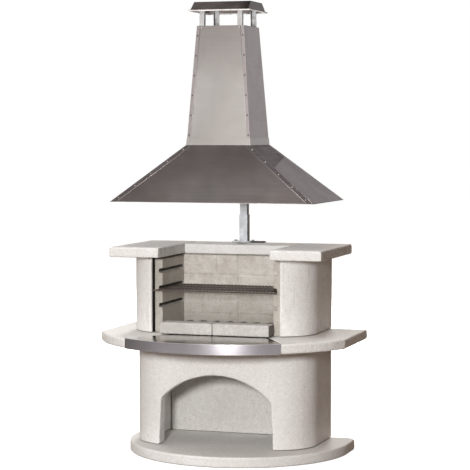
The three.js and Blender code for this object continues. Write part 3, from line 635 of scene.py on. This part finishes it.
fireclay = brick_material()
panel_clay = concrete_material(
    "panel_clay", srgb(201, 197, 189), srgb(176, 170, 160), srgb(136, 128, 118),
    srgb(220, 216, 209), 1.2)
for side, shift in (("left", 15.0), ("right", 16.0)):
    cast_block(f"side_panel_{side}_cast", [f"side_panel_{side}"], "masonry", "fireclay",
               panel_clay, 0.004, 0.012, rounds=2, chips=0.0016, seed=shift,
               joint=panel_top, dirt=slot_shade, spread=0.0045)
cast_block("firebox_back_cast", BACK_PANELS, "masonry", "fireclay", fireclay, 0.0032, rounds=3,
           chips=0.001, wave=0.0004, seed=19.0, relief=brick_relief, lift=0.009)
for side, shift in (("left", 17.0), ("right", 18.0)):
    cast_block(f"floor_plate_{side}_cast", [f"floor_plate_{side}"], "masonry",
               "floor_fireclay", panel_clay, 0.003, chips=0.001, wave=0.0005, seed=shift,
               dirt=floor_soot)

HORIZONTAL = (11, 11, 520)  # scale of streaks that run level
steels = {
    "hood": steel_material("hood_steel", srgb(150, 142, 139), srgb(112, 104, 102), 0.44,
                           HORIZONTAL, (srgb(108, 100, 98), 1.33, 1.56), smudge=0.1,
                           blue=srgb(140, 138, 140)),
    # the dark band high on the hood's right side is a painted reflection
    "hood_side": steel_material("hood_side_steel", srgb(150, 144, 146), srgb(143, 136, 138), 0.38,
                                HORIZONTAL, (srgb(78, 70, 68), 1.499, 1.504), marks=0.12,
                                lean=0.1256),
    "stack": steel_material("stack_steel", srgb(150, 147, 144), srgb(136, 131, 128), 0.44,
                            HORIZONTAL, (srgb(121, 115, 112), 1.85, 2.2), cloud_scale=2.2,
                            marks=0.15),
    # a darker copy of the stack's steel for its sides: painted shade
    "stack_shaded_side": steel_material("stack_shaded_side_steel", srgb(136, 130, 129), srgb(128, 121, 121),
                                 0.44, HORIZONTAL, cloud_scale=2.2, marks=0.15),
    "grate": steel_material("grate_steel", srgb(128, 118, 114), srgb(92, 83, 79), 0.4,
                            (30, 30, 30)),
    # a paler copy of the sheet for the rolled fold edges, the hood's rivet heads and its front and
    # back rims: painted highlight
    "edge": steel_material("edge_highlight_steel", srgb(176, 170, 167), srgb(150, 144, 141), 0.45,
                           (60, 60, 60)),
    # a dark copy for the stack's rivet heads and the hood's side rims: painted shade
    "rivet": steel_material("rivet_shade_steel", srgb(92, 85, 82), srgb(70, 64, 62), 0.5, (90, 90, 90)),
}
hood_side_shader = steels["hood_side"].node_tree.nodes["Principled BSDF"]
hood_side_shader.inputs["Specular Tint"].default_value = (0.68, 0.65, 0.65, 1)
# the mast and the cap's back legs take painted shade on their right-hand faces
zinc = zinc_material("zinc_steel", srgb(222, 225, 228), srgb(190, 193, 197), 0.6, 0.1, side=0.93)
bright = zinc_material("bolt_steel", srgb(178, 176, 174), srgb(130, 127, 125), 0.4, 0.6, scale=120)
leg_zinc = zinc_material("leg_zinc", srgb(214, 214, 214), srgb(160, 158, 157), 0.5, 0.15,
                         side=0.85, behind=0.1)


TRIM_DARK_X = (-0.42, -0.16)  # the band's painted reflection is dark at the first and bright from the second on
# heights of the bend, which carries a painted highlight, and of the flat part, which carries a
# paler painted reflection
TRIM_BEND_Z, TRIM_FLAT_Z = (0.6360, 0.6366), (0.6370, 0.6377)


def trim_material():
    """The worktop's sheet: a band brushed lengthwise with a painted reflection that darkens its
    left end, a painted highlight on the bend, and a smoother flat part, paler with a painted
    reflection.
    """
    m = Material("trim_steel")
    at = m.place()
    streak = m.noise(m.place((5, 5, 900)), 1, 4, 0.65)
    cloud = m.noise(at, 7, 3, 0.55)
    left = m.ramp(m.axis("X"), *TRIM_DARK_X, 1, 0)
    tone = m.mix(m.ramp(cloud, 0.35, 0.65, 0, 0.6), srgb(130, 126, 129), srgb(118, 114, 117))
    # painted reflection: the band darkens towards its left end
    tone = m.mix(m.maths("MULTIPLY", left, 0.85), tone, srgb(62, 56, 53))
    tone = m.mix(m.ramp(streak, 0.45, 0.75, 0, 0.3), tone, srgb(98, 94, 96))
    flat = m.ramp(m.axis("Z"), *TRIM_FLAT_Z)
    bend = m.maths("MULTIPLY", m.ramp(m.axis("Z"), *TRIM_BEND_Z), m.maths("SUBTRACT", 1, flat))
    patch = m.ramp(m.noise(at, 16, 4, 0.6), 0.35, 0.7)
    # painted reflection: the flat part is paler than the band
    tone = m.mix(flat, tone, m.mix(patch, srgb(190, 186, 183), srgb(166, 161, 158)))
    # painted highlight along the bend, dimmer towards the left
    tone = m.mix(bend, tone, m.mix(left, srgb(228, 226, 225), srgb(170, 164, 160)))
    brushed = m.ramp(streak, 0.3, 0.7, 0.38, 0.48)
    m.set(Base_Color=tone, Metallic=1.0, Normal=m.bump(streak, 0.0003, 0.3),
          Roughness=m.mix_value(flat, brushed, m.ramp(cloud, 0.3, 0.7, 0.16, 0.26)))
    m.shader.inputs["Anisotropic"].default_value = 0.5
    m.shader.inputs["Anisotropic Rotation"].default_value = 0.25
    tangent = m.add("ShaderNodeTangent", direction_type="RADIAL", axis="Z")
    m.put(m.shader.inputs["Tangent"], tangent.outputs["Tangent"])
    return m.material


# where the painted shade on the cap's right begins and is full, and the heights of the lip's
# painted highlight
CAP_DARK_X, CAP_LIP_Z = (0.07, 0.125), (2.2935, 2.292)


def cap_material():
    """Rain cap: dark sheet with painted shade on the right, and a rolled lip with a painted
    highlight.
    """
    m = Material("cap_steel")
    at = m.place()
    streak = m.noise(m.place(HORIZONTAL), 1, 4, 0.65)
    cloud = m.noise(at, 9, 3, 0.6)
    tone = m.mix(m.ramp(cloud, 0.35, 0.65), srgb(136, 127, 124), srgb(108, 100, 97))
    tone = m.mix(m.ramp(streak, 0.45, 0.75, 0, 0.3), tone, srgb(94, 87, 85))
    # painted shade on the cap's right
    tone = m.mix(m.ramp(m.axis("X"), *CAP_DARK_X, 0, 0.85), tone, srgb(54, 48, 46))
    # painted highlight on the rolled lip
    lip = m.ramp(m.axis("Z"), *CAP_LIP_Z)
    rolled = m.mix(m.ramp(cloud, 0.4, 0.6), srgb(228, 225, 223), srgb(186, 180, 177))
    tone = m.mix(lip, tone, rolled)
    m.set(Base_Color=tone, Metallic=m.ramp(lip, 0, 1, 1, 0.5),
          Roughness=m.ramp(streak, 0.3, 0.7, 0.4, 0.5), Normal=m.bump(streak, 0.0004, 0.35))
    return m.material


steels["trim"] = trim_material()
steels["cap"] = cap_material()


def node_material(name):
    """The material of a node that shows as it is."""
    if name in ("hood_left", "hood_right"):
        return steels["hood_side"]
    if name in ("stack_left", "stack_right"):
        return steels["stack_shaded_side"]
    if "bolt" in name or "screw" in name:
        return bright
    for start, chosen in (("hood", steels["hood"]), ("stack", steels["stack"]),
                          ("cap_leg", leg_zinc), ("cap", steels["cap"]),
                          ("cooking_grate", steels["grate"])):
        if name.startswith(start):
            return chosen
    return zinc


for name, item in nodes.items():
    item.data.materials.clear()
    item.data.materials.append(node_material(name))


# Steel on the worktop's middle: one sheet, bent down at its curved front and flat under the curb

# The front's arc, the sheet's two ends, its thickness and bend, and where its sides turn
TRIM = dict(centre=0.2665, radius=0.7195, reach=math.asin(0.408 / 0.7177), low=0.5853,
            high=0.6378, sheet=0.0015, bend=0.0014, half=0.2236, wall=-0.057, back=-0.0056)
TRIM_STEPS = 120


def trim_ring(share):
    """The sheet's section at a share of its reach to the right, from its foot and round it."""
    angle = TRIM["reach"] * share
    radius, high, bend, sheet = (TRIM[key] for key in ("radius", "high", "bend", "sheet"))

    def on_arc(r, z):
        return (r * math.sin(angle), TRIM["centre"] - r * math.cos(angle), z)

    x = TRIM["half"] * share
    ring = [on_arc(radius, TRIM["low"])]
    for i in range(7):
        turn = math.radians(15 * i)
        ring.append(on_arc(radius - bend + bend * math.cos(turn),
                           high - bend + bend * math.sin(turn)))
    ring += [(x, TRIM["wall"], high), (x, TRIM["back"], high),
             (x, TRIM["back"], high - sheet), (x, TRIM["wall"], high - sheet)]
    return ring + [on_arc(radius - sheet, high - sheet), on_arc(radius - sheet, TRIM["low"])]


def add_trim():
    bm = bmesh.new()
    rings = [[bm.verts.new(place) for place in trim_ring(2 * step / TRIM_STEPS - 1)]
             for step in range(TRIM_STEPS + 1)]
    count = len(rings[0])
    for one, other in zip(rings, rings[1:]):
        for i in range(count):
            j = (i + 1) % count
            bm.faces.new((one[i], other[i], other[j], one[j]))
    bm.faces.new(rings[0])
    bm.faces.new(rings[-1][::-1])
    bmesh.ops.recalc_face_normals(bm, faces=bm.faces[:])
    sheet = add_piece("worktop_trim_sheet", bm, steels["trim"], "masonry")
    sheet.data.set_sharp_from_angle(angle=math.radians(35))
    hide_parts("worktop_trim")


# Hood and stack: the rolled edges of the folds with painted highlight, and the rivet heads, with
# painted highlight on the hood and painted shade on the stack

SHELL_CENTRE = (-0.016, 0.151)
SHELLS = {
    "hood": dict(low=1.315, high=1.605, foot=(0.541, 0.300), top=(0.1728, 0.1678), fold=0.033,
                 margin=0.022, count=5, head="edge"),
    "stack": dict(low=1.605, high=2.214, foot=(0.171, 0.166), top=(0.126, 0.131), fold=0.018,
                  margin=0.051, count=6, head="rivet"),
}
EDGE_RADIUS, RIM_RADIUS = 0.0016, 0.0014
EDGE_ENDS = 0.007  # a fold's edge begins and ends this far inside its panel
FOLD_INSET, CORNER_INSET = 0.0009, 0.0016
HEAD_RADIUS, HEAD_HEIGHT = 0.0043, 0.0022
CORNERS = [(side, end) for side in (-1, 1) for end in (-1, 1)]


def shell_point(shell, side, end, z, inset_x, inset_y=0.0):
    """A point on a fold of the shell, in from its corner."""
    share = (z - shell["low"]) / (shell["high"] - shell["low"])
    x, y = (foot + (top - foot) * share for foot, top in zip(shell["foot"], shell["top"]))
    return Vector((SHELL_CENTRE[0] + side * (x - inset_x),
                   SHELL_CENTRE[1] + end * (y - inset_y), z))


def add_tube(bm, start, end, radius, sides=8):
    """A round bar with domed ends."""
    turn = (end - start).to_track_quat("Z", "X").to_matrix()
    length = (end - start).length
    rings = []
    for along, size in ((0, 0.5), (0.4 * radius, 1), (length - 0.4 * radius, 1), (length, 0.5)):
        rings.append([bm.verts.new(start + turn @ Vector((
            radius * size * math.cos(2 * math.pi * i / sides),
            radius * size * math.sin(2 * math.pi * i / sides), along))) for i in range(sides)])
    for lower, upper in zip(rings, rings[1:]):
        for i in range(sides):
            j = (i + 1) % sides
            bm.faces.new((lower[i], lower[j], upper[j], upper[i]))
    bm.faces.new(rings[0][::-1])
    bm.faces.new(rings[-1])


def add_dome(bm, seat, normal, radius, height, sides=12):
    """A rivet head, sunk a little into the sheet."""
    turn = normal.to_track_quat("Z", "X").to_matrix()
    rings = []
    for size, rise in ((1.0, -0.3), (1.0, 0.15), (0.86, 0.55), (0.55, 0.88)):
        rings.append([bm.verts.new(seat + turn @ Vector((
            radius * size * math.cos(2 * math.pi * i / sides),
            radius * size * math.sin(2 * math.pi * i / sides), rise * height)))
            for i in range(sides)])
    crown = bm.verts.new(seat + turn @ Vector((0, 0, height)))
    for lower, upper in zip(rings, rings[1:]):
        for i in range(sides):
            j = (i + 1) % sides
            bm.faces.new((lower[i], lower[j], upper[j], upper[i]))
    for i in range(sides):
        bm.faces.new((rings[-1][i], rings[-1][(i + 1) % sides], crown))
    bm.faces.new(rings[0][::-1])


def add_piece(name, bm, material, body):
    mesh = bpy.data.meshes.new(name)
    bm.to_mesh(mesh)
    bm.free()
    mesh.shade_smooth()
    mesh.materials.append(material)
    piece = bpy.data.objects.new(name, mesh)
    bpy.context.collection.objects.link(piece)
    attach(piece, body)
    return piece


add_trim()
for name, shell in SHELLS.items():
    edges, heads = bmesh.new(), bmesh.new()
    low, high = shell["low"] + EDGE_ENDS, shell["high"] - EDGE_ENDS
    for side, end in CORNERS:
        for inset_x, inset_y in ((shell["fold"], FOLD_INSET), (CORNER_INSET, CORNER_INSET)):
            add_tube(edges, shell_point(shell, side, end, low, inset_x, inset_y),
                     shell_point(shell, side, end, high, inset_x, inset_y), EDGE_RADIUS)
        lean = (shell["foot"][1] - shell["top"][1]) / (shell["high"] - shell["low"])
        normal = Vector((0, end, lean)).normalized()
        first, last = shell["low"] + shell["margin"], shell["high"] - shell["margin"]
        for i in range(shell["count"]):
            z = first + (last - first) * i / (shell["count"] - 1)
            seat = shell_point(shell, side, end, z, shell["fold"] / 2)
            add_dome(heads, seat, normal, HEAD_RADIUS, HEAD_HEIGHT)
    add_piece(f"{name}_fold_edges", edges, steels["edge"], "hood")
    add_piece(f"{name}_rivet_heads", heads, steels[shell["head"]], "hood")


def add_rim(name, corners, inset_x, inset_y, steel):
    """Folded lower edges of the hood, each between two corners."""
    rim = bmesh.new()
    hood = SHELLS["hood"]
    z = hood["low"] + RIM_RADIUS
    for start, end in corners:
        add_tube(rim, shell_point(hood, *start, z, inset_x, inset_y),
                 shell_point(hood, *end, z, inset_x, inset_y), RIM_RADIUS)
    add_piece(name, rim, steel, "hood")


# painted highlight on the front and back rims
add_rim("hood_front_rims", [((-1, end), (1, end)) for end in (-1, 1)], 0.003, 0.001,
        steels["edge"])
# painted shade on the side rims
add_rim("hood_side_rims", [((side, -1), (side, 1)) for side in (-1, 1)], 0.001, 0.004,
        steels["rivet"])


# Floor, backdrop and light

FLOOR_SIZE = 60
LAMP_AIM = (0, 0, 1.1)
ROOM_SIDE = (-0.75, -0.45)  # the room's light is stronger from the left and the front
LAMPS = {
    "key": dict(azimuth=9.5, rise=6.4, distance=6.4, size=0.6, power=322, shine=True),
    "fill": dict(azimuth=-66, rise=12, distance=6, size=2, power=42, shine=False),
    "top": dict(azimuth=-25, rise=72, distance=6, size=3, power=145, shine=False),
    "back": dict(azimuth=189, rise=21, distance=9.5, size=2, power=800, shine=False),
}


def show_white(m):
    """1 for camera, glossy and see-through rays, 0 for the light that falls on the object."""
    path = m.add("ShaderNodeLightPath")
    seen = m.maths("MAXIMUM", path.outputs["Is Camera Ray"], path.outputs["Is Glossy Ray"])
    return m.maths("MAXIMUM", seen, path.outputs["Is Transmission Ray"])


def add_floor():
    mesh = bpy.data.meshes.new("floor")
    half = FLOOR_SIZE / 2
    mesh.from_pydata([(-half, -half, 0), (half, -half, 0), (half, half, 0), (-half, half, 0)],
                     [], [(0, 1, 2, 3)])
    floor = bpy.data.objects.new("floor", mesh)
    bpy.context.collection.objects.link(floor)
    m = Material("floor")
    seen = show_white(m)
    soft = m.noise(m.place(), 2, 2)
    pale = m.mix(m.ramp(soft, 0.3, 0.7), srgb(246, 246, 245), srgb(240, 240, 239))
    warm = m.mix(m.ramp(soft, 0.3, 0.7), srgb(108, 91, 77), srgb(102, 86, 73))
    m.set(Base_Color=m.mix(seen, warm, pale), Roughness=0.9, Emission_Color=(1, 1, 1, 1),
          Emission_Strength=m.maths("MULTIPLY", seen, 0.8))
    mesh.materials.append(m.material)


def add_lamp(name, azimuth, rise, distance, size, power, shine):
    """A square soft light, azimuth degrees to the right of the object's front."""
    turn, up = math.radians(azimuth), math.radians(rise)
    away = Vector((math.sin(turn) * math.cos(up), -math.cos(turn) * math.cos(up), math.sin(up)))
    data = bpy.data.lights.new(name, "AREA")
    data.shape = "SQUARE"
    data.size = size
    data.energy = power
    light = bpy.data.objects.new(name, data)
    light.location = Vector(LAMP_AIM) + away * distance
    light.rotation_euler = (-away).to_track_quat("-Z", "Y").to_euler()
    light.visible_glossy = shine
    bpy.context.collection.objects.link(light)


def add_world():
    world = bpy.data.worlds.new("world")
    bpy.context.scene.world = world
    world.use_nodes = True
    t = Tree(world.node_tree)
    direction = t.add("ShaderNodeTexCoord").outputs["Generated"]
    split = t.add("ShaderNodeSeparateXYZ", {"Vector": direction})
    up = split.outputs["Z"]
    toward = t.maths("ADD", t.maths("MULTIPLY", split.outputs["X"], ROOM_SIDE[0]),
                     t.maths("MULTIPLY", split.outputs["Y"], ROOM_SIDE[1]))
    ceiling = t.mix(t.ramp(up, 0.14, 0.72, 0, 1, "SMOOTHSTEP"), (1, 1, 1, 1), srgb(176, 174, 172))
    light = t.mix(t.ramp(up, 0.0, 0.8), srgb(92, 86, 80), srgb(192, 188, 184))
    shade = t.add("ShaderNodeCombineColor", {
        channel: t.ramp(toward, -0.7, 0.7, dark, 1.25)
        for channel, dark in (("Red", 0.18), ("Green", 0.03), ("Blue", -0.08))})
    light = t.mix(1.0, light, shade.outputs["Color"], "MULTIPLY")
    shown = t.mix(show_white(t), light, ceiling)
    background = world.node_tree.nodes["Background"]
    t.put(background.inputs["Color"], shown)
    background.inputs["Strength"].default_value = 1


add_floor()
for lamp, settings in LAMPS.items():
    add_lamp(lamp, **settings)
add_world()
